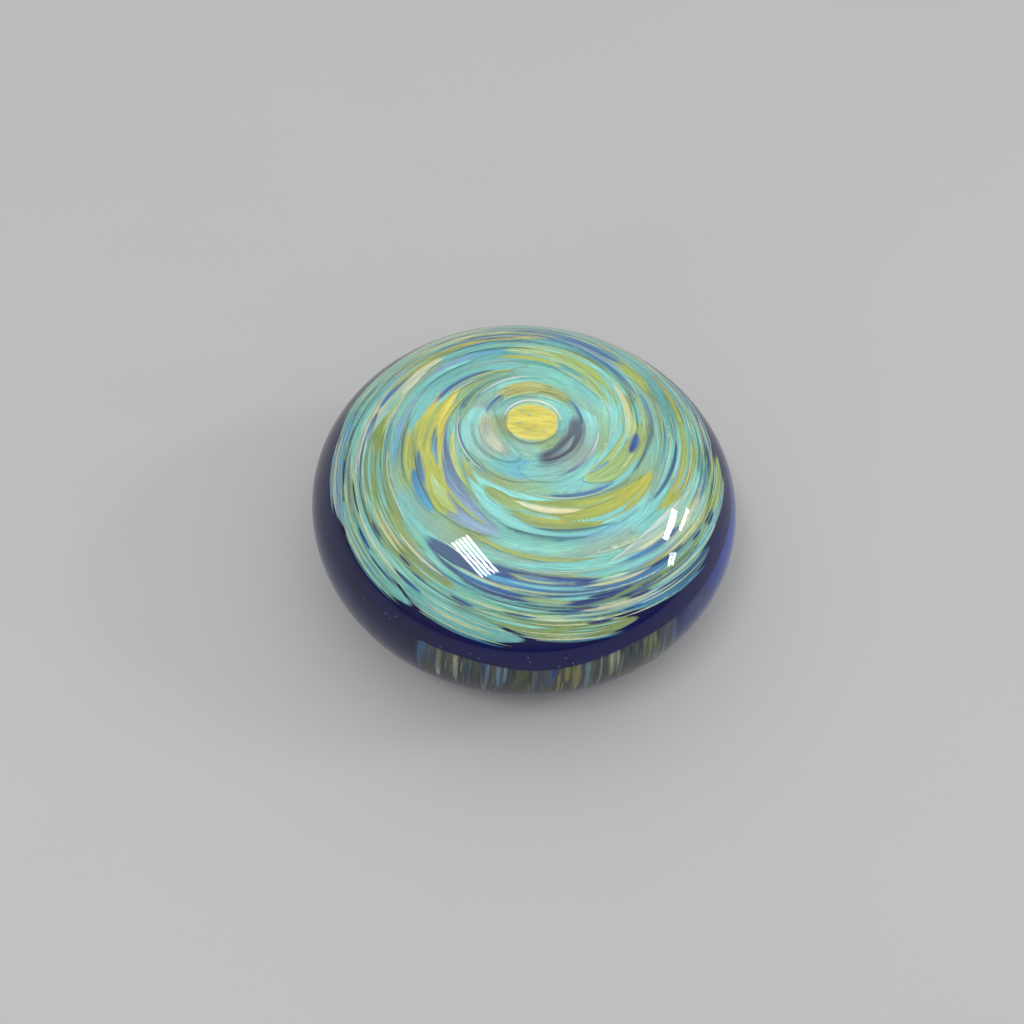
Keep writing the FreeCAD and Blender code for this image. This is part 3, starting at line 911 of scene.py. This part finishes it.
def make_floor():
    """The floor that the paperweight stands on."""
    mesh = bpy.data.meshes.new("floor")
    corners = [(-FLOOR_HALF, -FLOOR_HALF), (FLOOR_HALF, -FLOOR_HALF), (FLOOR_HALF, FLOOR_HALF),
               (-FLOOR_HALF, FLOOR_HALF)]
    mesh.from_pydata([(x, y, -FLOOR_GAP) for x, y in corners], [], [(0, 1, 2, 3)])
    mesh.materials.append(floor_material())
    floor = bpy.data.objects.new("floor", mesh)
    bpy.context.scene.collection.objects.link(floor)


LIGHT_DISTANCE = 1.2
STRIPES = 5


def way(angle, height):
    """A direction from a plan angle and an angle above the floor, in degrees."""
    turn, lift = math.radians(angle), math.radians(height)
    return Vector((math.sin(turn) * math.cos(lift), -math.cos(turn) * math.cos(lift), math.sin(lift)))


def light_panel(name, start, end, width, radiance, stripes=0):
    """A flat lamp that runs between two directions, as seen from the paperweight."""
    first, last = way(*start) * LIGHT_DISTANCE, way(*end) * LIGHT_DISTANCE
    middle = (first + last) / 2
    along = (last - first).normalized()
    out = (middle - along * middle.dot(along)).normalized()
    data = bpy.data.lights.new(name, "AREA")
    data.shape = "RECTANGLE"
    data.size = (last - first).length
    data.size_y = math.radians(width) * LIGHT_DISTANCE
    data.energy = radiance * math.pi * data.size * data.size_y
    if stripes:
        data.use_nodes = True
        tree = data.node_tree
        place = tree.nodes.new("ShaderNodeNewGeometry")
        split = tree.nodes.new("ShaderNodeSeparateXYZ")
        wave = tree.nodes.new("ShaderNodeMath")
        wave.operation = "PINGPONG"
        wave.inputs[1].default_value = 0.5 / stripes
        step = tree.nodes.new("ShaderNodeMapRange")
        step.inputs["From Min"].default_value = 0.22 / stripes
        step.inputs["From Max"].default_value = 0.27 / stripes
        step.inputs["To Min"].default_value = 0.02
        tree.links.new(place.outputs["Parametric"], split.inputs[0])
        tree.links.new(split.outputs["Y"], wave.inputs[0])
        tree.links.new(wave.outputs[0], step.inputs["Value"])
        tree.links.new(step.outputs["Result"], tree.nodes["Emission"].inputs["Strength"])
    lamp = bpy.data.objects.new(name, data)
    lamp.matrix_world = Matrix((along, out.cross(along), out)).transposed().to_4x4()
    lamp.location = middle
    bpy.context.scene.collection.objects.link(lamp)


def make_light():
    """A pale room, brighter above, with one lamp overhead and three strips at the right."""
    world = bpy.data.worlds.new("studio")
    bpy.context.scene.world = world
    world.use_nodes = True
    tree = world.node_tree
    sky = tree.nodes["Background"]
    place = tree.nodes.new("ShaderNodeTexCoord")
    split = tree.nodes.new("ShaderNodeSeparateXYZ")
    ramp = tree.nodes.new("ShaderNodeValToRGB")
    ramp.color_ramp.elements[0].color = (0.16, 0.17, 0.20, 1)
    ramp.color_ramp.elements[1].color = (1.66, 1.68, 1.7, 1)
    tree.links.new(place.outputs["Generated"], split.inputs[0])
    tree.links.new(split.outputs["Z"], ramp.inputs["Fac"])
    tree.links.new(ramp.outputs["Color"], sky.inputs["Color"])
    light_panel("ceiling_panel", (-60, 64), (-20, 58), 8.5, 34.0, STRIPES)
    light_panel("right_window", (92, 33), (107, 31), 3.2, 40.0)
    light_panel("right_window_slit", (99, 26), (109, 23), 1.7, 36.0)
    light_panel("right_window_low", (82, 22), (88, 25), 4.2, 34.0, 4)
    bpy.context.scene.view_settings.view_transform = "Standard"


PITCH = math.radians(52)
ROLL = math.radians(5.4)
DISTANCE = 4.87         # in radii of the paperweight
SENSOR = 36.0
LENS = 36.0
SHIFT_RIGHT = 0.013     # shares of the frame's width
SHIFT_DOWN = 0.016


def make_camera():
    """The camera, looking down from the front with a slight roll."""
    forward = Vector((0, math.cos(PITCH), -math.sin(PITCH)))
    right = Vector((1, 0, 0))
    up = right.cross(forward)
    turned_right = right * math.cos(ROLL) + up * math.sin(ROLL)
    turned_up = up * math.cos(ROLL) - right * math.sin(ROLL)
    data = bpy.data.cameras.new("camera")
    data.sensor_width = SENSOR
    data.lens = LENS
    data.shift_x = -SHIFT_RIGHT
    data.shift_y = -SHIFT_DOWN
    camera = bpy.data.objects.new("camera", data)
    place = Matrix((turned_right, turned_up, -forward)).transposed().to_4x4()
    place.translation = Vector((0, 0, EQUATOR * MM)) - forward * DISTANCE * RADIUS * MM
    camera.matrix_world = place
    bpy.context.scene.collection.objects.link(camera)
    bpy.context.scene.camera = camera


make_glass()
make_floor()
make_light()
make_camera()
